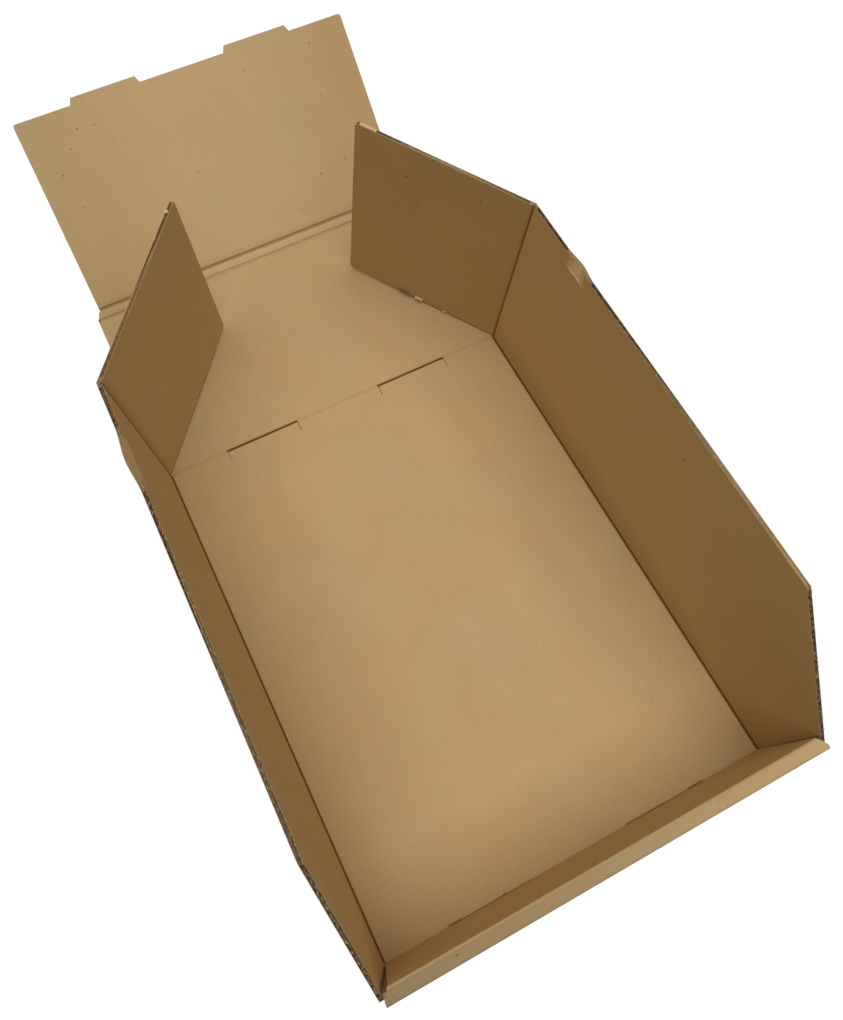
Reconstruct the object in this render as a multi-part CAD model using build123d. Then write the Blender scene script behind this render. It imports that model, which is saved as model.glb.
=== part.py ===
from build123d import *
import os
from math import atan2, cos, degrees, radians, sin, tan

# Open-front storage bin, folded from one die-cut sheet of single-wall corrugated board.
# The front lip is rolled over and locked. The rear end is laid open: the rear wall lies
# flat behind the floor, its roll-over panel leans up and the two side flaps stand half in.
# +X is right, +Y is the rear, +Z is up, and the origin is under the middle of the floor.
# Lengths are in millimetres and angles in degrees.

# The sheet
board = 3.0             # thickness
liner = 0.35            # flat paper on each face
medium = 0.30           # waved paper between the two liners
flute_pitch = 6.5       # from one wave to the next
wave_crest = 1.6        # flat on top of a wave, glued to the liner
wave_drift = 4.0        # how far the waves run out of line with the edge, end to end
crushed = 4.0           # waves pressed shut beside a crease
fold_radius = 2.4       # outside of a square fold
score_radius = 0.6      # groove along the inside of a square fold
worn_radius = 2.5       # corners rounded by use
layer_gap = 0.2         # between two layers folded against each other
hinge_gap = 0.3         # running gap round the nose of a flap that still moves

# The tray
inner_width = 300.0     # between the side walls, at the floor
inner_length = 386.0    # from the front lip to the rear crease
wall_height = 162.0     # side wall, up its own face
wall_lean = 3.0         # each side wall leans out while the rear end is open
lip_height = 86.0       # front lip above the floor
slope_run = 79.0        # the side wall's front corner slopes down over this length
lip_width = 307.6       # outer front wall and rear wall, side to side
panel_clearance = 0.8   # inner panel to each side wall, at the floor
tuck_length = 110.0     # front flap of each side wall, folded into the lip
tuck_shoulder = 8.0     # its upper corner is cut back beside the fold
bump_place = 134.5      # middle of the crushed bump in each wall's top edge
left_bump_length = 48.0
left_bump_rise = 1.9    # outwards at the top edge
right_bump_length = 31.0
right_bump_rise = 1.6
bump_depth = 9.0        # down from the top edge to the crease it is pushed out from
bump_board = 1.6        # thickness of the crushed board there
bump_ledge = 0.9        # of the wall below, left bare by the crease
bump_run_out = 0.12     # its lines cross the wall's faces at a slant

# The open rear end
rear_wall_length = 167.0
roll_length = 9.6       # strip between the two creases, three boards wide
roll_panel_length = 160.5
panel_lean = 38.4       # the roll-over panel above the rear wall
flap_length = 145.0
flap_clearance = 0.6    # under the side flaps
left_flap_angle = 40.0  # folded in from straight back
right_flap_angle = 34.0

# Locking tabs and their slots
tab_offset = 69.0       # from the middle of the box to the middle of a tab
tab_width = 61.5        # at the root
tab_taper = 2.6         # each side, root to tip
tab_length = 5.5
slot_width = 63.0
slit = 0.9              # cut through the floor along the rear crease
slit_leg = 9.5          # end cuts that free the tongue in front of the slit
slit_leg_width = 0.4
tab_room = 0.3          # round a tab that is home in its slot
crease_depth = 0.6      # scored line between floor and rear wall
roll_crease_depth = 1.0  # pressed line on each side of the roll-over strip
crease_tool_radius = 2.0

os.makedirs("parts", exist_ok=True)

half_width = inner_width / 2
front_y = -inner_length / 2
rear_y = inner_length / 2
lip_top = board + lip_height
lip_depth = 3 * board + 2 * layer_gap
tuck_front = front_y - lip_depth + board + layer_gap
panel_width = inner_width - 2 * panel_clearance
lean_up = Vector(-sin(radians(wall_lean)), 0, cos(radians(wall_lean)))
lean_in = Vector(cos(radians(wall_lean)), 0, sin(radians(wall_lean)))
left_foot = Vector(-half_width, 0, board)
left_top = left_foot + lean_up * wall_height
right_side = Plane.YZ


def mirrored(shape):
    return mirror(shape, about=right_side)


def seen_along_y(*points):
    return make_face(Polyline(*[(x, 0, z) for x, z in points], close=True))


def seen_along_x(*points):
    return make_face(Polyline(*[(0, y, z) for y, z in points], close=True))


def block(low, high):
    size = [b - a for a, b in zip(low, high)]
    return Pos(*low) * Box(*size, align=(Align.MIN, Align.MIN, Align.MIN))


# A panel is drawn in its own frame: X along its crease, Y away from the crease,
# Z towards the face that turns inwards, with the crease at the middle of the board.

def flutes(start, end, near, far):
    """Hollow cells between the liners, cut open along both edges, that drift out of line with them."""
    clear = board - 2 * liner
    rise = degrees(atan2(clear, flute_pitch / 2 - wave_crest))
    base = flute_pitch - wave_crest - medium / sin(radians(rise))
    cell = Trapezoid(base, clear - medium, rise)
    lower = Pos(0, -medium / 2) * cell
    upper = Pos(flute_pitch / 2, 0) * Rot(0, 0, 180) * lower
    length = far - near
    steps = range(-1, int((end - start) / flute_pitch) + 1)
    waves = Sketch()
    for step in steps:
        waves = waves + Pos(start + step * flute_pitch, 0) * lower + Pos(start + step * flute_pitch, 0) * upper
    along = Vector(wave_drift, -length, 0)
    return Pos(0, far, 0) * extrude(Plane.XZ * waves, along.length, dir=along)


def leaf(outline, start, end):
    """A panel that turns on its crease, with the rounded nose that the fold gives it."""
    nose = Pos(start, 0, 0) * Rot(0, 90, 0) * Cylinder(
        board / 2, end - start, align=(Align.CENTER, Align.CENTER, Align.MIN)
    )
    return extrude(outline, board / 2, both=True) + nose


def fold_seat(start, end):
    """Room that a leaf's nose needs in the end of the board that carries it."""
    reach = board / 2 + hinge_gap
    nose_room = Pos(start, 0, 0) * Rot(0, 90, 0) * Cylinder(
        reach, end - start, align=(Align.CENTER, Align.CENTER, Align.MIN)
    )
    inner_half = block((start, -reach, 0), (end, board, board))
    past_crease = block((start, 0, -board), (end, board, board))
    return nose_room + inner_half + past_crease


def tab(root, tip, length):
    return make_face(Polyline((-root / 2, 0), (root / 2, 0), (tip / 2, length), (-tip / 2, length), close=True))


# The tray: floor and side walls are one section, drawn across the waves.

def tray_section():
    slant = tan(radians(wall_lean))
    outer_foot = half_width + board / cos(radians(wall_lean)) - board * slant
    outer_top = left_top - lean_in * board
    face = seen_along_y(
        (-outer_foot, 0), (outer_foot, 0), (-outer_top.X, outer_top.Z), (-left_top.X, left_top.Z),
        (half_width, board), (-half_width, board), (left_top.X, left_top.Z), (outer_top.X, outer_top.Z),
    )
    under = face.vertices().group_by(Axis.Z)[0]
    face = fillet(under, fold_radius)
    score = Plane.XZ * Pos(half_width, board) * Circle(score_radius)
    return face - score - mirrored(score)


def slope_height(y):
    """Height of the sloping front edge of a side wall at y."""
    steepness = (left_top.Z - lip_top + board) / slope_run
    return left_top.Z - (front_y + slope_run - y) * steepness


def tray():
    shape = Pos(0, rear_y, 0) * extrude(tray_section(), rear_y - tuck_front, dir=(0, -1, 0))
    above = left_top.Z + board
    ahead = tuck_front - board
    slope = seen_along_x(
        (front_y + slope_run, left_top.Z), (front_y + slope_run, above), (ahead, above), (ahead, slope_height(ahead)),
    )
    return shape - extrude(slope, inner_width, both=True)


def wall_frame():
    """Rear crease of the left side wall. X runs down the wall and Z points into the box."""
    crease = left_foot - lean_in * (board / 2) + Vector(0, rear_y, 0)
    return Plane(crease, x_dir=-lean_up, z_dir=lean_in).location


def wall_flutes():
    """The cells that the top edge and the slope cut open, from the slope back to the rear crease."""
    slope_foot = (slope_height(tuck_front + board) - board) / cos(radians(wall_lean))
    return wall_frame() * flutes(-wall_height, -slope_foot, tuck_front + board - rear_y, -crushed)


def bump_line(depth, length, face, top_rise, foot_rise):
    """Edge of the crushed board seen from above, at a depth below the wall's top edge."""
    rise = top_rise + (foot_rise - top_rise) * depth / bump_depth
    down = depth - wall_height
    middle = bump_place - rear_y
    return Spline(
        (down, middle - length / 2, face + bump_run_out),
        (down, middle, face - rise),
        (down, middle + length / 2, face + bump_run_out),
        tangents=[(0, 1, 0), (0, 1, 0)],
    )


def bump_section(near, far):
    """Face between two such lines."""
    return make_face([near, far, Line(near @ 0, far @ 0), Line(near @ 1, far @ 1)])


def wall_bump(length, rise):
    """Bump crushed outwards in a wall's top edge: the board there, and the hollow inside it."""
    push = rise + board - bump_board
    shell = []
    hollow = []
    for depth in (0, bump_depth):
        outer = bump_line(depth, length, -board / 2, rise, -bump_run_out)
        inner = bump_line(depth, length, board / 2, push, bump_ledge)
        shell.append(bump_section(outer, inner))
    for depth in (-board, bump_depth):
        inner = bump_line(depth, length, board / 2, push, bump_ledge)
        clear = bump_line(depth, length, board * 1.5, 0, 0)
        hollow.append(bump_section(inner, clear))
    return wall_frame() * loft(shell, ruled=True), wall_frame() * loft(hollow, ruled=True)


def tuck_flap():
    """Front flap of the left side wall, folded square and held inside the lip."""
    flap_top = lip_top - board - layer_gap
    fold_top = slope_height(tuck_front)
    slant = tan(radians(wall_lean))
    bottom = board + layer_gap
    free_end = -half_width + tuck_length
    face = seen_along_y(
        (-half_width - slant * (bottom - board), bottom), (free_end, bottom),
        (free_end, flap_top - board), (free_end - board, flap_top),
        (-half_width + tuck_shoulder, flap_top), (-half_width - slant * (fold_top - board), fold_top),
    )
    return Pos(0, tuck_front + board, 0) * extrude(face, board, dir=(0, -1, 0))


# The front lip: outer wall, roll-over strip and inner panel, with two tabs in the floor.

def lip():
    front = front_y - lip_depth
    outer_wall = block((-lip_width / 2, front, 0), (lip_width / 2, front + board, lip_top - board))
    floor_end = block((-lip_width / 2, front, 0), (lip_width / 2, front_y, board))
    under_fold = outer_wall.edges().filter_by(Axis.X).group_by(Axis.Z)[0].sort_by(Axis.Y)[0]
    outer_wall = fillet(under_fold, fold_radius)
    floor_end = fillet(floor_end.edges().filter_by(Axis.X).group_by(Axis.Z)[0].sort_by(Axis.Y)[0], fold_radius)
    half_lip = lip_width / 2
    half_panel = panel_width / 2
    plan = make_face(Polyline(
        (-half_lip, front), (half_lip, front), (half_lip, front + board),
        (half_panel, front_y), (-half_panel, front_y), (-half_lip, front + board), close=True,
    ))
    strip = Pos(0, 0, lip_top - board) * extrude(plan, board)
    inner_panel = block(
        (-half_panel, front_y - board, board + layer_gap), (half_panel, front_y, lip_top - board)
    )
    shape = outer_wall + floor_end + strip + inner_panel
    top = shape.edges().filter_by(Axis.X).group_by(Axis.Z)[-1]
    return fillet([top.sort_by(Axis.Y)[0], top.sort_by(Axis.Y)[-1]], fold_radius)


def front_slots():
    half_slot = slot_width / 2
    top = board + layer_gap / 2
    opening = block((-half_slot, front_y - board - tab_room, -board), (half_slot, front_y + tab_room, top))
    return [Pos(x, 0, 0) * opening for x in (-tab_offset, tab_offset)]


def front_tabs():
    """Tabs of the inner panel, home in the floor and flush with its underside."""
    profile = tab(tab_width, tab_width - 2 * tab_taper * board / tab_length, board)
    upright = Plane((0, front_y - board, board + layer_gap), x_dir=(1, 0, 0), z_dir=(0, 1, 0))
    shape = extrude(upright * profile, board)
    return [Pos(x, 0, 0) * shape for x in (-tab_offset, tab_offset)]


# The rear wall, which carries on from the floor past a scored crease.

def rear_wall():
    return block((-lip_width / 2, rear_y, 0), (lip_width / 2, rear_y + rear_wall_length, board))


def pressed_line(start, end, depth):
    """Groove that the creasing tool leaves across a panel, from start to end along the crease."""
    height = board / 2 + crease_tool_radius - depth
    return Pos(start, 0, height) * Rot(0, 90, 0) * Cylinder(
        crease_tool_radius, end - start, align=(Align.CENTER, Align.CENTER, Align.MIN)
    )


def rear_crease():
    return Pos(0, rear_y, board / 2) * pressed_line(-half_width, half_width, crease_depth)


def rear_slots():
    """A slit on the crease with a leg at each end, which frees a tongue of the floor."""
    half_slot = slot_width / 2
    along = block((-half_slot, rear_y - slit / 2, -board), (half_slot, rear_y + slit / 2, 2 * board))
    leg = block((-half_slot, rear_y - slit_leg, -board), (-half_slot + slit_leg_width, rear_y, 2 * board))
    cut = along + leg + mirrored(leg)
    return [Pos(x, 0, 0) * cut for x in (-tab_offset, tab_offset)]


def roll_frame():
    return Pos(0, rear_y + rear_wall_length, board / 2)


def bin_body():
    shape = tray() + tuck_flap() + mirrored(tuck_flap())
    shape = shape + lip() + rear_wall()
    shape = shape - front_slots()
    shape = shape + front_tabs()
    shape = shape - rear_crease()
    shape = shape - rear_slots()
    seat = wall_frame() * fold_seat(-wall_height - board, -flap_clearance + hinge_gap)
    shape = shape - seat - mirrored(seat)
    shape = shape - roll_frame() * fold_seat(-lip_width, lip_width)
    shape = shape - roll_frame() * pressed_line(-lip_width, lip_width, roll_crease_depth)
    cells = wall_flutes()
    left_bump, left_hollow = wall_bump(left_bump_length, left_bump_rise)
    right_bump, right_hollow = wall_bump(right_bump_length, right_bump_rise)
    shape = shape - cells - mirrored(cells) - left_hollow - mirrored(right_hollow)
    return shape + left_bump + mirrored(right_bump)


# The two side flaps, hinged on the rear creases of the side walls.

def side_flap(angle):
    outline = make_face(Polyline(
        (-wall_height, 0), (-flap_clearance, 0), (-flap_clearance, flap_length),
        (-wall_height, flap_length), close=True,
    ))
    outline = fillet(outline.vertices().group_by(Axis.Y)[-1], worn_radius)
    shape = leaf(outline, -wall_height, -flap_clearance)
    cells = flutes(-wall_height, -flap_clearance, crushed, flap_length + board)
    return wall_frame() * Rot(angle, 0, 0) * (shape - cells)


# The roll-over strip and panel behind the rear wall share the panel's lean between two creases.

def roll_strip():
    half_root = lip_width / 2
    half_end = panel_width / 2
    outline = make_face(Polyline(
        (-half_root, 0), (half_root, 0), (half_end, roll_length), (-half_end, roll_length), close=True,
    ))
    shape = leaf(outline, -half_root, half_root)
    crease = pressed_line(-lip_width, lip_width, roll_crease_depth)
    shape = shape - crease - Pos(0, roll_length, 0) * crease
    shape = shape - Pos(0, roll_length, 0) * fold_seat(-half_root, half_root)
    return roll_frame() * Rot(panel_lean / 2, 0, 0) * shape


def roll_panel():
    half_panel = panel_width / 2
    outline = make_face(Polyline(
        (-half_panel, 0), (half_panel, 0), (half_panel, roll_panel_length),
        (-half_panel, roll_panel_length), close=True,
    ))
    one_tab = tab(tab_width, tab_width - 2 * tab_taper, tab_length)
    for x in (-tab_offset, tab_offset):
        outline = outline + Pos(x, roll_panel_length) * one_tab
    far_corners = [v for v in outline.vertices() if abs(abs(v.X) - half_panel) < 0.01 and v.Y > roll_length]
    outline = fillet(far_corners, worn_radius)
    shape = leaf(outline, -half_panel, half_panel) - pressed_line(-lip_width, lip_width, roll_crease_depth)
    shape = shape - flutes(-half_panel, half_panel, crushed, roll_panel_length + tab_length + board)
    second_crease = roll_frame() * Rot(panel_lean / 2, 0, 0) * Pos(0, roll_length, 0)
    return second_crease * Rot(panel_lean / 2, 0, 0) * shape


export_step(bin_body(), "parts/bin_body.step")
export_step(side_flap(left_flap_angle), "parts/left_rear_flap.step")
export_step(mirrored(side_flap(right_flap_angle)), "parts/right_rear_flap.step")
export_step(roll_strip(), "parts/rear_roll_strip.step")
export_step(roll_panel(), "parts/rear_inner_panel.step")
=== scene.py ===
from math import cos, pi, radians, sin, tau
from random import Random

import bmesh
import bpy
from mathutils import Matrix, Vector


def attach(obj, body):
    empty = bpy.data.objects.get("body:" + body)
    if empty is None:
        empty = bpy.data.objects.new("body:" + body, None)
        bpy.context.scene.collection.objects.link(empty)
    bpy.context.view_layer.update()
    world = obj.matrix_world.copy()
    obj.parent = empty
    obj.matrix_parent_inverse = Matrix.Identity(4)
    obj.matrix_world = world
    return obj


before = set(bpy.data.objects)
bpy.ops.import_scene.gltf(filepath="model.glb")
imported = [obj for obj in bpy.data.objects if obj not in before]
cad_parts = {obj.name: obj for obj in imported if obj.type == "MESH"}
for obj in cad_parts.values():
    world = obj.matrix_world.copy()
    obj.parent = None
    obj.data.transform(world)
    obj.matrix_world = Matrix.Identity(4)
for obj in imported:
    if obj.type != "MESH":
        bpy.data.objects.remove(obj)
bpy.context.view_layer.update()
scene = bpy.context.scene


# The tray: floor, side walls, rolled front lip and laid-down rear wall, one folded sheet.
# It is single-wall kraft board: matt brown liner paper over a wave, which shows dark where
# the die cut it open. The waves run side to side across the sheet, the paper's grain end to end.

class Value:
    """A node socket that can be added, multiplied and so on in plain expressions."""

    def __init__(self, tree, socket):
        self.tree = tree
        self.socket = socket

    def combine(self, operation, first, second):
        return self.tree.node("ShaderNodeMath", {"operation": operation}, {0: first, 1: second})

    def __add__(self, other):
        return self.combine("ADD", self, other)

    def __radd__(self, other):
        return self.combine("ADD", other, self)

    def __sub__(self, other):
        return self.combine("SUBTRACT", self, other)

    def __rsub__(self, other):
        return self.combine("SUBTRACT", other, self)

    def __mul__(self, other):
        return self.combine("MULTIPLY", self, other)

    def __rmul__(self, other):
        return self.combine("MULTIPLY", other, self)

    def __abs__(self):
        return self.combine("ABSOLUTE", self, 0.0)

    def __gt__(self, other):
        return self.combine("GREATER_THAN", self, other)

    def __lt__(self, other):
        return self.combine("LESS_THAN", self, other)

    def __or__(self, other):
        return self.combine("MAXIMUM", self, other)


class NodeTree:
    """A tree under construction, with one method that adds any node."""

    def __init__(self, tree):
        self.nodes = tree.nodes
        self.links = tree.links
        self.nodes.clear()

    def node(self, kind, settings=None, sockets=None, output=0):
        made = self.nodes.new(kind)
        for name, setting in (settings or {}).items():
            setattr(made, name, setting)
        for name, value in (sockets or {}).items():
            if isinstance(value, Value):
                self.links.new(value.socket, made.inputs[name])
            else:
                made.inputs[name].default_value = value
        return Value(self, made.outputs[output]) if made.outputs else None

    def place(self):
        """Where the point is on the object, in metres, as x, y and z."""
        point = self.node("ShaderNodeTexCoord", output="Object")
        return [self.node("ShaderNodeSeparateXYZ", None, {"Vector": point}, axis) for axis in "XYZ"]

    def facing(self):
        """Which way the surface faces, as x, y and z."""
        normal = self.node("ShaderNodeTexCoord", output="Normal")
        return [self.node("ShaderNodeSeparateXYZ", None, {"Vector": normal}, axis) for axis in "XYZ"]

    def point(self, x, y, z):
        return self.node("ShaderNodeCombineXYZ", None, {"X": x, "Y": y, "Z": z})

    def noise(self, place, scale, detail):
        return self.node("ShaderNodeTexNoise", None, {"Vector": place, "Scale": scale, "Detail": detail})

    def rise(self, value, low, high):
        """0 at low, 1 at high and straight between; low may be the larger."""
        limits = {"Value": value, "From Min": low, "From Max": high, "To Min": 0.0, "To Max": 1.0}
        return self.node("ShaderNodeMapRange", {"clamp": True}, limits)

    def line(self, value, place, full, none):
        """1 within the distance full of a place, and 0 beyond the distance none."""
        return self.rise(abs(value - place), none, full)

    def mix(self, amount, first, second, blend="MIX"):
        settings = {"data_type": "RGBA", "blend_type": blend}
        return self.node("ShaderNodeMix", settings, {0: amount, 6: first, 7: second}, 2)


BOARD = 0.003
WAVE_PITCH = 0.0065
KRAFT = (0.52, 0.359, 0.172, 1)
KRAFT_SHADED = (0.50, 0.325, 0.132, 1)
WARM_TONE = (1.02, 0.98, 0.94, 1)
COOL_TONE = (0.985, 1.005, 1.03, 1)
DARK_SPECK = (0.20, 0.105, 0.032, 1)
PALE_SPECK = (0.74, 0.54, 0.29, 1)
PALE_AND_HIGHLIGHT = (0.82, 0.58, 0.31, 1)
GREY_SHADE = (0.55, 0.57, 0.62, 1)
SCORED_AND_SHADE = (0.19, 0.085, 0.012, 1)
CUT_BOARD = (0.27, 0.178, 0.082, 1)
CUT_WAVE = (0.148, 0.094, 0.053, 1)
TORN_FIBRE = (0.46, 0.35, 0.23, 1)
OPEN_CELL_SHADE = (0.06, 0.032, 0.018, 1)
INNER_LINE = (0.085, 0.05, 0.022, 1)
TRAY_GRAIN = (600, 25, 600)
FLAP_GRAIN = (25, 25, 600)
PANEL_GRAIN = (600, 25, 25)
SHEET_LENGTH = Vector((0, 1, 0))


def kraft_board(name, grain, waves, edges):
    """Material of one part of the sheet.

    grain is how quickly the paper's streaks change along x, y and z, and waves the direction
    in which the waves follow each other. edges gives the depth into the board from its inner
    face, the distance along its edge, and masks of the cut edges, of the scored lines with the
    painted shade in creases, slits and corners, of the places painted pale, as torn paper and
    as painted highlight, and of the painted grey shade.
    """
    material = bpy.data.materials.new(name)
    material.use_nodes = True
    board = NodeTree(material.node_tree)
    x, y, z = board.place()
    normal = board.facing()
    depth, along, cut, scored_and_shade, pale_and_highlight, painted_grey_shade = edges(board, x, y, z, normal)

    # Liner paper: cloudy and streaked by its fibres, with the waves just showing through.
    position = board.point(x, y, z)
    streak_place = board.point(x * grain[0], y * grain[1], z * grain[2])
    cloud = board.noise(position, 26.0, 3.0)
    hue = board.noise(position, 12.0, 2.0)
    streak = board.noise(streak_place, 1.0, 3.0)
    fibre = board.noise(position, 1100.0, 2.0)
    crest = (x * waves[0] + y * waves[1] + z * waves[2]) * (tau / WAVE_PITCH)
    wave = board.node("ShaderNodeMath", {"operation": "SINE"}, {0: crest})
    shade = 0.865 + cloud * 0.10 + streak * 0.06 + fibre * 0.11 + wave * 0.004
    grey = board.node("ShaderNodeCombineColor", None, {0: shade, 1: shade, 2: shade})
    tone = board.mix(board.rise(hue, 0.35, 0.65), WARM_TONE, COOL_TONE)

    # Specks in it. Their cells are turned, so that no panel lies along a layer of them.
    turned_x = x * 0.8 - y * 0.6
    turned_y = x * 0.36 + y * 0.48 - z * 0.8
    turned_z = x * 0.48 + y * 0.64 + z * 0.6
    cells = {"Vector": board.point(turned_x, turned_y, turned_z), "Scale": 178.0}
    distance = board.node("ShaderNodeTexVoronoi", {"feature": "F1"}, cells)
    kind = board.node("ShaderNodeTexVoronoi", {"feature": "F1"}, cells, "Color")
    pick, size, choice = [board.node("ShaderNodeSeparateColor", None, {"Color": kind}, part)
                          for part in ("Red", "Green", "Blue")]
    speck = (distance < size * 0.06 + 0.04) * (choice < 0.16)
    blot = board.rise(distance, size * 0.09 + 0.12, size * 0.06 + 0.05) * (choice > 0.935)
    blot = blot * board.rise(z, 0.002, 0.020)

    # Upright faces take the darker, redder KRAFT_SHADED: painted shade, as the walls get less light than
    # the floor.
    upright = board.rise(normal[2] * normal[2], 0.35, 0.1)
    paper = board.mix(upright, KRAFT, KRAFT_SHADED)
    paper = board.mix(1.0, paper, grey, "MULTIPLY")
    paper = board.mix(1.0, paper, tone, "MULTIPLY")
    paper = board.mix(speck * (pick < 0.7) * 0.6 | blot * 0.8, paper, DARK_SPECK)
    paper = board.mix(speck * (pick > 0.7) * 0.6, paper, PALE_SPECK)
    # Paler places (torn paper, and painted highlight), painted grey shade, and scored lines darkened
    # further by painted shade.
    paper = board.mix(pale_and_highlight, paper, PALE_AND_HIGHLIGHT)
    paper = board.mix(painted_grey_shade, paper, GREY_SHADE, "MULTIPLY")
    paper = board.mix(scored_and_shade, paper, SCORED_AND_SHADE)

    # Cut edge: brown board, a darker wave towards the outer face, and torn fibres over both.
    torn_place = board.point(depth * 2600.0, along * 330.0, z * 90.0)
    torn = board.noise(torn_place, 1.0, 2.0)
    sloped = board.rise(abs(normal[2]), 0.92, 0.80)
    in_wave = board.rise(depth, 0.0017 - sloped * 0.0013, 0.0021 - sloped * 0.0014)
    in_wave = in_wave * board.rise(depth, 0.0028, 0.0025)
    # Nearly black patches in the wave, more on sloped edges: painted shade of its open cells.
    open_cell_shade = board.rise(torn, 0.46, 0.36) * in_wave * (0.35 + sloped * 0.3)
    inner_line = board.line(depth, 0.0006, 0.0002, 0.0005) * board.rise(torn, 0.66, 0.52)
    core = board.mix(in_wave, CUT_BOARD, CUT_WAVE)
    core = board.mix(board.rise(torn, 0.54, 0.66) * 0.6, core, TORN_FIBRE)
    core = board.mix(open_cell_shade, core, OPEN_CELL_SHADE)
    core = board.mix(inner_line * 0.8, core, INNER_LINE)

    rough = board.node("ShaderNodeBump", None, {
        "Strength": 0.12, "Distance": 0.0004, "Height": fibre + torn * cut * 2.0,
    })
    surface = board.node("ShaderNodeBsdfPrincipled", None, {
        "Base Color": board.mix(cut, paper, core), "Roughness": 0.85, "Diffuse Roughness": 0.2,
        "Specular IOR Level": 0.05, "Normal": rough,
    })
    board.node("ShaderNodeOutputMaterial", None, {"Surface": surface})
    return material


def finish_node(name, material):
    """Give a solid its material."""
    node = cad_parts[name]
    node.data.materials.clear()
    node.data.materials.append(material)


WALL_LEAN = radians(3.0)
WALL_FOOT = 0.150
FRONT_FACE = -0.193
LIP_OUTSIDE = -0.2035
LIP_TOP = 0.086
REAR_CREASE = 0.193
REAR_END = 0.360
SLOT_PLACE = 0.0690
BUMP_PLACE = 0.1345
BUMP_LEDGE = 0.1557
SKIN = 0.00005


def wall_depth(x, z):
    """How deep a place lies in the board of a side wall, from its inner face."""
    return (abs(x) - WALL_FOOT) * cos(WALL_LEAN) - (z - BOARD) * sin(WALL_LEAN)


def bump_reach(x):
    """Half the length of the bump on this side, which is longer on the left."""
    return 0.0155 + (x < 0.0) * 0.0085


def tray_edges(board, x, y, z, normal):
    """The walls' edges and cells, the floor's slits, the rear wall's sides and the lip's ends."""
    side = abs(x)
    level = abs(normal[2])
    depth = wall_depth(x, z)
    in_board = (depth > SKIN) * (depth < BOARD - SKIN)
    in_floor = (z > SKIN) * (z < BOARD - SKIN) * (level < 0.5)
    on_floor = side < WALL_FOOT - 0.001
    behind_lip = y > FRONT_FACE
    before_rear = y < REAR_CREASE

    # The edges that the die cut, and those that wear has made pale again.
    from_bump = abs(y - BUMP_PLACE)
    near_bump = from_bump < bump_reach(x)
    on_bump = near_bump * (z > 0.1545)
    bump_edge = on_bump * (level > 0.9) * board.rise(from_bump, 0.004, bump_reach(x))
    past_lip = behind_lip | (y > LIP_OUTSIDE) * (level > 0.3)
    wall_edge = in_board * (z > 0.005) * past_lip * (1.0 - on_bump)
    floor_cut = in_floor * (on_floor | (y > REAR_CREASE + 0.0002))
    lip_end = (y < FRONT_FACE) * (side > WALL_FOOT - 0.0007) * (abs(normal[0]) > 0.7) * (z < LIP_TOP)
    worn_pale = board.rise(y, 0.02, -0.04) * 0.5 | board.rise(y, -0.05, -0.10) * 0.9
    worn_pale = worn_pale * (x > 0.0) * board.rise(y, -0.118, -0.112)
    cut = (wall_edge | bump_edge) * (1.0 - worn_pale) | floor_cut | lip_end

    # The creases at the feet of the walls, flaps and lip, and the lines of slits and tabs: scored lines,
    # darkened further with painted shade in the creases, in and beside the slits and at the tabs.
    foot = board.rise(abs(depth) + abs(z - BOARD), 0.0018, 0.0009) * behind_lip * before_rear
    flap_line = board.line(y, REAR_CREASE, 0.0004, 0.0014) * (z > 0.004)
    rear = board.line(y, REAR_CREASE, 0.0003, 0.0012) * (side < WALL_FOOT)
    slits = in_floor * on_floor * (y > 0.0)
    by_slit = board.line(side, SLOT_PLACE, 0.0315, 0.0325) * board.line(y, REAR_CREASE, 0.0008, 0.0016)
    roll = board.rise(y, REAR_END - 0.0032, REAR_END - 0.0002)
    lip_foot = board.rise(abs(y - FRONT_FACE) + abs(z - BOARD), 0.0016, 0.0005)
    left_tab = (abs(x + 0.097) < 0.005) | (abs(x + 0.0595) < 0.0015)
    right_tab = (abs(x - 0.053) < 0.015) * 0.6 | (abs(x - 0.096) < 0.006)
    front = lip_foot * ((left_tab | right_tab) * 0.75 | 0.12)
    scored_and_shade = foot | flap_line * 0.75 | rear * 0.12 | slits | by_slit * 0.7 | roll * 0.3 | front

    # Painted shade: the right wall darker towards its front and its foot, and the floor darker towards
    # the left wall, most at the front.
    painted_shade_front = board.rise(y, -0.04, -0.19) * (depth > -0.0001) * (x > 0.0) * behind_lip
    painted_shade_foot = board.rise(z, 0.035, 0.004) * (x > WALL_FOOT - 0.0005) * behind_lip
    painted_shade_floor = board.rise(x, -0.118, -0.15) * board.rise(y, 0.12, -0.1) * (z < 0.0031)
    scored_and_shade = scored_and_shade | painted_shade_front * 0.25 | painted_shade_foot * 0.25 | painted_shade_floor * 0.2

    # The ledge where a bump leaves the wall: darkened on the left as painted shade, and painted pale on
    # the right as a painted highlight.
    left_ledge = (x < 0.0) * near_bump * (abs(z - BUMP_LEDGE) < 0.0006) * (level > 0.9)
    right_ledge = (abs(z - BUMP_LEDGE) < 0.0005) * (x > 0.0) * (depth < 0.001)
    right_ledge = right_ledge * board.rise(from_bump, 0.0115, 0.0075) * 0.8
    cut = cut * (1.0 - slits) * (right_ledge < 0.1)

    # Painted shade on the lip's top, darker towards its left end.
    lip_top_shade = (z > LIP_TOP + 0.001) * board.rise(y, -0.1938, -0.1946) * board.rise(x, 0.14, -0.15)
    return depth, y, cut, scored_and_shade | left_ledge * 0.65, right_ledge, lip_top_shade * 0.9


finish_node("bin_body", kraft_board("tray_board", TRAY_GRAIN, SHEET_LENGTH, tray_edges))


# The two rear side flaps, hinged on the rear creases of the side walls and half folded in.
# They are the same board, so their cut edges show the same wave between two liners.

def wall_directions(side):
    """Up a side wall, and out through it."""
    up = Vector((side * sin(WALL_LEAN), 0, cos(WALL_LEAN)))
    out = Vector((side * cos(WALL_LEAN), 0, -sin(WALL_LEAN)))
    return up, out


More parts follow.
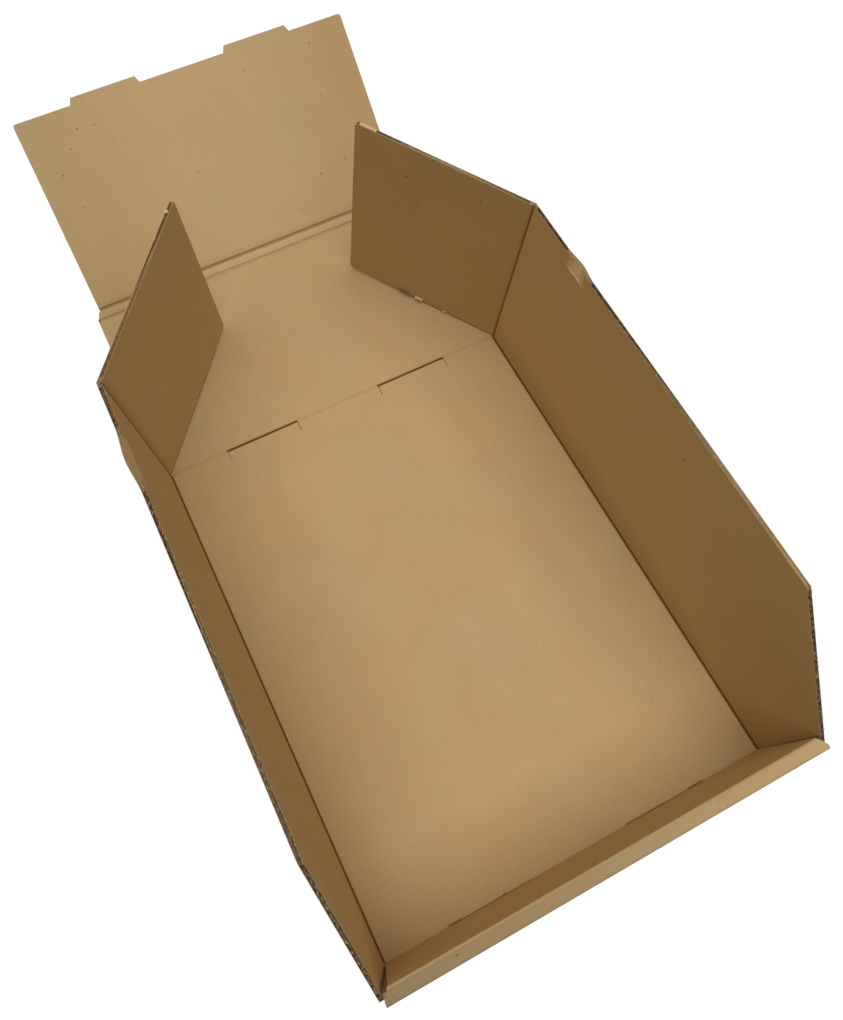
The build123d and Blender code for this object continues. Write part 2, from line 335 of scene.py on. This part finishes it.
def reach_along(x, y, z, start, direction):
    """How far a place lies from a starting point in one direction."""
    return (x - start.x) * direction.x + (y - start.y) * direction.y + (z - start.z) * direction.z


def crease_line(board, along, dark):
    """The dark line along a crease, scored and painted shade, and the fainter painted shade of the
    hollow beside it.
    """
    return board.rise(along, 0.0018, 0.0008) * dark | board.rise(along, 0.0065, 0.0) * dark * 0.45


def flap_edges(crease, run, face, open_cut, flap_shade, middle_line):
    """Cut edges, crease and lower edge of a side flap.

    crease is a point on its crease, in its middle plane, run leads away from the crease and
    face out of the board. open_cut is how dark its cut edges are, browned how much painted
    shade darkens all its paper, and middle_line how dark the line along the middle of its edge.
    The lower edge is darkened as painted shade.
    """

    def edges(board, x, y, z, normal):
        level = reach_along(x, y, z, crease, face)
        along = reach_along(x, y, z, crease, run)
        low = z - crease.z - along * run.z
        open_edge = (along > 0.004) | (normal[2] > 0.99)
        cut = (abs(level) < BOARD / 2 - SKIN) * open_edge * open_cut
        # Scored line and painted shade along the crease, painted shade along the lower edge, and painted
        # shade over the whole right flap.
        scored_and_shade = crease_line(board, along, 0.8) | board.rise(low, 0.0022, 0.0006) * 0.7 | flap_shade
        scored_and_shade = scored_and_shade | board.line(level, 0.0, 0.0003, 0.0008) * open_edge * middle_line
        return BOARD / 2 - level, along, cut, scored_and_shade, 0.0, 0.0

    return edges


# The right flap's paper is darkened a little all over as painted shade.
FLAPS = (
    ("left_rear_flap", "left_flap", -1, radians(40.0), 0.65, 0.0, 0.9),
    ("right_rear_flap", "right_flap", 1, radians(34.0), 0.5, 0.15, 0.0),
)
flap_planes = {}
for name, body, side, turn, open_cut, flap_shade, middle_line in FLAPS:
    up, out = wall_directions(side)
    crease = Vector((side * WALL_FOOT, REAR_CREASE, BOARD)) + out * (BOARD / 2)
    face = -out * cos(turn) - Vector((0, sin(turn), 0))
    run = -out * sin(turn) + Vector((0, cos(turn), 0))
    flap_planes[name] = (body, crease, run, up, face)
    edges = flap_edges(crease, run, face, open_cut, flap_shade, middle_line)
    finish_node(name, kraft_board(name + "_board", FLAP_GRAIN, run, edges))


# The roll-over strip and the inner panel behind the rear wall, which lean up past two creases.
# The strip is three boards wide, so that the panel can fold flat over the side flaps.

def leaning_edges(foot, run, lean, crease, pale_and_highlight, side_cut=None):
    """Cut edges and crease of a leaf that leans up from its foot.

    crease is how dark its scored line and the painted shade beside it are, and rubbed how much
    paler its middle is painted, as painted light. A leaf whose own sides alone are cut has them
    further than side_cut from the middle of the box.
    """
    face = Vector((0, -sin(lean), cos(lean)))

    def edges(board, x, y, z, normal):
        level = reach_along(x, y, z, foot, face)
        along = reach_along(x, y, z, foot, run)
        open_edge = abs(x) > side_cut if side_cut else (along > 0.004) | (normal[2] > 0.99)
        cut = (abs(level) < BOARD / 2 - SKIN) * open_edge
        # Painted light: the middle of the leaf painted paler.
        pale = board.rise(abs(x), 0.14, 0.04) * pale_and_highlight
        return BOARD / 2 - level, along, cut, crease_line(board, along, crease), pale, 0.0

    return edges


STRIP_LEAN = radians(19.2)
PANEL_LEAN = radians(38.4)
STRIP_WIDTH = 0.0096
strip_foot = Vector((0, REAR_END, BOARD / 2))
strip_run = Vector((0, cos(STRIP_LEAN), sin(STRIP_LEAN)))
panel_foot = strip_foot + STRIP_WIDTH * strip_run
panel_run = Vector((0, cos(PANEL_LEAN), sin(PANEL_LEAN)))
strip_edges = leaning_edges(strip_foot, strip_run, STRIP_LEAN, 0.22, 0.2, side_cut=0.1525)
panel_edges = leaning_edges(panel_foot, panel_run, PANEL_LEAN, 0.45, 0.18)
finish_node("rear_roll_strip", kraft_board("roll_strip_board", PANEL_GRAIN, strip_run, strip_edges))
finish_node("rear_inner_panel", kraft_board("roll_panel_board", PANEL_GRAIN, panel_run, panel_edges))


# The bumps in the walls' top edges that hold the next box when boxes are stacked.
# The die crushes the board there and pushes it out, so it is smooth, thin and closed.

WALL_HEIGHT = 0.162


def paper_mesh(name, bm, material):
    """A mesh from its finished vertices and faces, in one material."""
    mesh = bpy.data.meshes.new(name)
    bm.to_mesh(mesh)
    bm.free()
    mesh.materials.append(material)
    return mesh


def add_piece(name, mesh, body):
    """A piece of the same board, which moves with one body."""
    piece = bpy.data.objects.new(name, mesh)
    scene.collection.objects.link(piece)
    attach(piece, body)


def crushed_bump(name, side, length, rise, material):
    """The skin of one bump: up the inside of the wall, over its edge and down the outside."""
    height = 0.009
    hollow = 0.0010
    foot_hollow = 0.0005
    foot_tuck = 0.0001
    crown = 0.0003
    around = 6
    steps = 48
    up, out = wall_directions(side)
    top = Vector((side * WALL_FOOT, BUMP_PLACE, BOARD)) + up * WALL_HEIGHT
    bm = bmesh.new()
    rings = []
    for step in range(steps + 1):
        place = (step / steps - 0.5) * length
        here = top + Vector((0, place, 0))
        swell = cos(pi * place / length) ** 2
        skin = SKIN * min(1.0, 12 * swell)
        ring = []
        for row in range(around + 1):
            low = 1 - row / around
            push = swell * ((rise + hollow) * (1 - low) + foot_hollow * low) - skin
            ring.append(here - up * height * low + out * push)
        inner = swell * (rise + hollow) - skin
        outer = swell * rise + BOARD + skin
        for row in range(1, around):
            turn = pi * row / around
            middle = (inner + outer) / 2
            half = (outer - inner) / 2
            lift = SKIN + crown * swell * sin(turn)
            ring.append(here + up * lift + out * (middle - half * cos(turn)))
        for row in range(around + 1):
            low = row / around
            push = BOARD + swell * (rise * (1 - low) - foot_tuck * low) + skin
            ring.append(here - up * height * low + out * push)
        rings.append([bm.verts.new(point) for point in ring])
    count = len(rings[0])
    for first, second in zip(rings, rings[1:]):
        for corner in range(count):
            after = (corner + 1) % count
            bm.faces.new((first[corner], first[after], second[after], second[corner]))
    ends = [bm.faces.new(rings[0]), bm.faces.new(rings[-1])]
    bmesh.ops.recalc_face_normals(bm, faces=bm.faces[:])
    for face in bm.faces:
        face.smooth = face not in ends
    for face in ends:
        for edge in face.edges:
            edge.smooth = False
    for first, second in zip(rings, rings[1:]):
        for corner in (0, around, 2 * around, count - 1):
            bm.edges.get((first[corner], second[corner])).smooth = False
    add_piece(name, paper_mesh(name, bm, material), "tray")


def bump_edges(board, x, y, z, normal):
    """Only the bump's ends still show cut board; its top is darkened as painted shade, and its faces
    paler as painted highlight.
    """
    level = abs(normal[2])
    reach = bump_reach(x)
    from_bump = abs(y - BUMP_PLACE)
    top = board.rise(level, 0.25, 0.6)
    cut = (level > 0.9) * board.rise(from_bump, reach * 0.2, reach * 0.9)
    pale_and_highlight = board.rise(from_bump, reach * 0.85, 0.0) * (x > 0.0) * (0.16 + (level < 0.9) * 0.30)
    return wall_depth(x, z), y, cut, top * (x < 0.0) * 0.3, pale_and_highlight | (x < 0.0) * 0.12, top


bump_board = kraft_board("crushed_board", TRAY_GRAIN, SHEET_LENGTH, bump_edges)
crushed_bump("left_bump", -1, length=0.048, rise=0.0019, material=bump_board)
crushed_bump("right_bump", 1, length=0.031, rise=0.0016, material=bump_board)


# Torn paper: where the die was blunt the liner came away ragged. A pale scrap stands on each
# rear flap's upper edge near its outer corner, and three hang from the right flap's lower edge.

def torn_edges(pale_and_highlight, shadow):
    """Thin paper, torn all over.

    rubbed is how pale it is, and shadow how dark its upper edge lies where it is half torn off.
    """

    def edges(board, x, y, z, normal):
        return 0.001, y, 0.0, board.rise(z, 0.0062, 0.0074) * shadow, pale_and_highlight, 0.0

    return edges


scrap_paper = kraft_board("scrap_paper", FLAP_GRAIN, SHEET_LENGTH, torn_edges(0.6, 0.0))
tag_paper = kraft_board("tag_paper", FLAP_GRAIN, SHEET_LENGTH, torn_edges(0.3, 0.8))


def scrap(name, flap, material, seed, start, foot, length, height, lean):
    """A ragged strip of paper, standing up a flap's face from a place on it.

    start is how far it begins from the flap's crease, foot how far above the flap's lower edge,
    and lean how far its upper edge stands off the face.
    """
    thickness = 0.00025
    rows_up = 3
    body, crease, run, up, face = flap_planes[flap]
    ragged = Random(seed)
    steps = max(5, int(length / 0.0006))
    bm = bmesh.new()
    layers = []
    for lift in (0.0, thickness):
        rows = []
        for row in range(rows_up + 1):
            high = row / rows_up
            line = []
            for step in range(steps + 1):
                end = min(1.0, 4 * min(step, steps - step) / steps + 0.35)
                share = 0.75 + 0.25 * ragged.random() if row == rows_up else 0.75 * high
                across = run * (start + length * step / steps)
                out = lift + lean * high * high
                line.append(crease + across + up * (foot + height * end * share) + face * out)
            rows.append([bm.verts.new(point) for point in line])
        layers.append(rows)
    back, front = layers
    for rows, flip in ((front, False), (back, True)):
        for lower, upper in zip(rows, rows[1:]):
            for step in range(steps):
                corners = [lower[step], lower[step + 1], upper[step + 1], upper[step]]
                bm.faces.new(corners[::-1] if flip else corners)
    for step in range(steps):
        after = step + 1
        for row in (0, rows_up):
            bm.faces.new((back[row][step], back[row][after], front[row][after], front[row][step]))
    for row in range(rows_up):
        after = row + 1
        for end in (0, steps):
            bm.faces.new((back[row][end], back[after][end], front[after][end], front[row][end]))
    bmesh.ops.recalc_face_normals(bm, faces=bm.faces[:])
    add_piece(name, paper_mesh(name, bm, material), body)


scrap("right_corner_scrap", "right_rear_flap", scrap_paper, seed=3,
      start=0.1280, foot=0.1614, length=0.0140, height=0.0013, lean=-0.0013)
scrap("left_edge_nick", "left_rear_flap", scrap_paper, seed=5,
      start=0.1338, foot=0.1620, length=0.0028, height=0.0012, lean=-0.0024)
scrap("lower_tag", "right_rear_flap", tag_paper, seed=7,
      start=0.0820, foot=0.0004, length=0.0125, height=0.0050, lean=0.0036)
scrap("lower_tag_front", "right_rear_flap", scrap_paper, seed=11,
      start=0.0705, foot=0.0022, length=0.0075, height=0.0022, lean=0.0042)
scrap("lower_tag_middle", "right_rear_flap", scrap_paper, seed=13,
      start=0.0470, foot=0.0012, length=0.0036, height=0.0012, lean=0.0026)


# The fibres that the knife left standing on the cut edges of the walls and flaps.
# They are short, thin and pale, and lie roughly along the edge.

def edge_fibres():
    """Tree that scatters short fibres over a strip of cut edge."""
    group = bpy.data.node_groups.new("edge_fibres", "GeometryNodeTree")
    inputs = (
        ("Geometry", "NodeSocketGeometry", None),
        ("Fibres Per Area", "NodeSocketFloat", 120000.0),
        ("Fibre Length", "NodeSocketFloat", 0.0016),
        ("Fibre Width", "NodeSocketFloat", 0.00016),
        ("Along", "NodeSocketVector", None),
        ("Seed", "NodeSocketInt", 1),
        ("Paper", "NodeSocketMaterial", None),
    )
    for name, kind, value in inputs:
        socket = group.interface.new_socket(name, in_out="INPUT", socket_type=kind)
        if value is not None:
            socket.default_value = value
    group.interface.new_socket("Geometry", in_out="OUTPUT", socket_type="NodeSocketGeometry")
    tree = NodeTree(group)
    given = {name: tree.node("NodeGroupInput", output=name) for name, kind, value in inputs}

    def stray(low, high):
        ends = {"Min": low, "Max": high, "Seed": given["Seed"]}
        return tree.node("FunctionNodeRandomValue", {"data_type": "FLOAT_VECTOR"}, ends, "Value")

    spots = tree.node("GeometryNodeDistributePointsOnFaces", None, {
        "Mesh": given["Geometry"], "Density": given["Fibres Per Area"], "Seed": given["Seed"],
    }, "Points")
    fibre = tree.node("GeometryNodeMeshCone", None, {
        "Vertices": 3, "Radius Top": 0.00004, "Radius Bottom": given["Fibre Width"],
        "Depth": given["Fibre Length"],
    }, "Mesh")
    aim = tree.node("ShaderNodeVectorMath", {"operation": "ADD"}, {
        0: given["Along"], 1: stray((-0.45, -0.45, -0.12), (0.45, 0.45, 0.12)),
    })
    turn = tree.node("FunctionNodeAlignRotationToVector", {"axis": "Z"}, {"Vector": aim}, "Rotation")
    placed = tree.node("GeometryNodeInstanceOnPoints", None, {
        "Points": spots, "Instance": fibre, "Rotation": turn,
        "Scale": stray((0.5, 0.5, 0.4), (1.3, 1.3, 1.6)),
    }, "Instances")
    real = tree.node("GeometryNodeRealizeInstances", None, {"Geometry": placed}, "Geometry")
    paper = {"Geometry": real, "Material": given["Paper"]}
    finished = tree.node("GeometryNodeSetMaterial", None, paper, "Geometry")
    tree.node("NodeGroupOutput", None, {"Geometry": finished})
    return group


fibre_tree = edge_fibres()
fibre_paper = kraft_board("fibre_paper", FLAP_GRAIN, SHEET_LENGTH, torn_edges(0.35, 0.0))


def fibres_on(name, body, strips, along, seed):
    """Fibres on strips of cut edge, each given by its two ends and the direction across it."""
    corners = []
    faces = []
    for start, end, across in strips:
        first = len(corners)
        corners += [start - across, end - across, end + across, start + across]
        faces.append((first, first + 1, first + 2, first + 3))
    mesh = bpy.data.meshes.new(name + "_strips")
    mesh.from_pydata(corners, [], faces)
    strip = bpy.data.objects.new(name + "_strips", mesh)
    scene.collection.objects.link(strip)
    grower = strip.modifiers.new("fibres", "NODES")
    grower.node_group = fibre_tree
    sockets = {item.name: item.identifier for item in fibre_tree.interface.items_tree
               if item.in_out == "INPUT"}
    grower[sockets["Along"]] = tuple(along)
    grower[sockets["Seed"]] = seed
    grower[sockets["Paper"]] = fibre_paper
    bpy.context.view_layer.update()
    ready = strip.evaluated_get(bpy.context.evaluated_depsgraph_get())
    plain = bpy.data.meshes.new_from_object(ready)
    plain.name = name
    strip.modifiers.remove(grower)
    bpy.data.objects.remove(strip)
    add_piece(name, plain, body)


EDGE_HEIGHT = 0.16205
LIP_HEIGHT = 0.0840
WALL_RUNS = (
    ((-0.112, EDGE_HEIGHT), (0.108, EDGE_HEIGHT)),
    ((-0.194, LIP_HEIGHT), (-0.1152, EDGE_HEIGHT)),
    ((0.160, EDGE_HEIGHT), (0.190, EDGE_HEIGHT)),
)
wall_strips = []
for side in (-1, 1):
    up, out = wall_directions(side)
    middle = Vector((side * WALL_FOOT, 0, BOARD)) + out * 0.0016
    for ends in WALL_RUNS:
        start, end = [middle + up * high + Vector((0, place, 0)) for place, high in ends]
        wall_strips.append((start, end, out * 0.0012))
fibres_on("wall_fibres", "tray", wall_strips, SHEET_LENGTH, seed=4)
for seed, (body, crease, run, up, face) in enumerate(flap_planes.values(), start=8):
    high = crease + up * EDGE_HEIGHT
    strips = [(high + run * 0.006, high + run * 0.141, face * 0.0011)]
    fibres_on(body + "_fibres", body, strips, run, seed)


# The table under the box and the soft daylight over it.
# Neither is part of the object.

TABLE_REACH = 12.0
table_corners = [(x * TABLE_REACH, y * TABLE_REACH, 0) for x, y in ((-1, -1), (1, -1), (1, 1), (-1, 1))]
table_mesh = bpy.data.meshes.new("table")
table_mesh.from_pydata(table_corners, [], [(0, 1, 2, 3)])
table = bpy.data.objects.new("table", table_mesh)
scene.collection.objects.link(table)
white_table = bpy.data.materials.new("white_table")
white_table.use_nodes = True
white = NodeTree(white_table.node_tree)
seen = white.node("ShaderNodeLightPath", output="Is Camera Ray")
matt = white.node("ShaderNodeBsdfDiffuse", None, {"Color": (0.55, 0.55, 0.55, 1)})
glow = white.node("ShaderNodeEmission", None, {"Color": (1, 1, 1, 1), "Strength": 1.12})
x, y, z = white.place()
clear_of_box = (abs(x) > 0.1535) | (y < -0.203) | (y > REAR_END)
mixed = white.node("ShaderNodeMixShader", None, {0: seen * clear_of_box * 0.85, 1: matt, 2: glow})
white.node("ShaderNodeOutputMaterial", None, {"Surface": mixed})
table_mesh.materials.append(white_table)

scene.world = bpy.data.worlds.new("daylight")
scene.world.use_nodes = True
daylight = NodeTree(scene.world.node_tree)
seen = daylight.node("ShaderNodeLightPath", output="Is Camera Ray")
background = daylight.node("ShaderNodeBackground", None, {
    "Color": (1, 1, 1, 1), "Strength": seen * 0.96 + 0.04,
})
daylight.node("ShaderNodeOutputWorld", None, {"Surface": background})

lamp_data = bpy.data.lights.new("ceiling", "AREA")
lamp_data.shape = "SQUARE"
lamp_data.size = 2.8
lamp_data.energy = 56
lamp = bpy.data.objects.new("ceiling", lamp_data)
lamp.location = (-0.05, -0.2, 2.0)
scene.collection.objects.link(lamp)


# The camera, above the front left part of the box, looking down and back along it.

camera_data = bpy.data.cameras.new("camera")
camera_data.sensor_fit = "VERTICAL"
camera_data.sensor_height = 36.0
camera_data.lens = 29.40
camera_data.shift_x = 0.0409
camera_data.shift_y = -0.0331
camera_data.clip_start = 0.05
camera = bpy.data.objects.new("camera", camera_data)
camera.location = (-0.11932, -0.11643, 0.6273)
camera.rotation_euler = (radians(22.866), radians(-0.3645), radians(-26.528))
scene.collection.objects.link(camera)
scene.camera = camera

scene.view_settings.view_transform = "Standard"
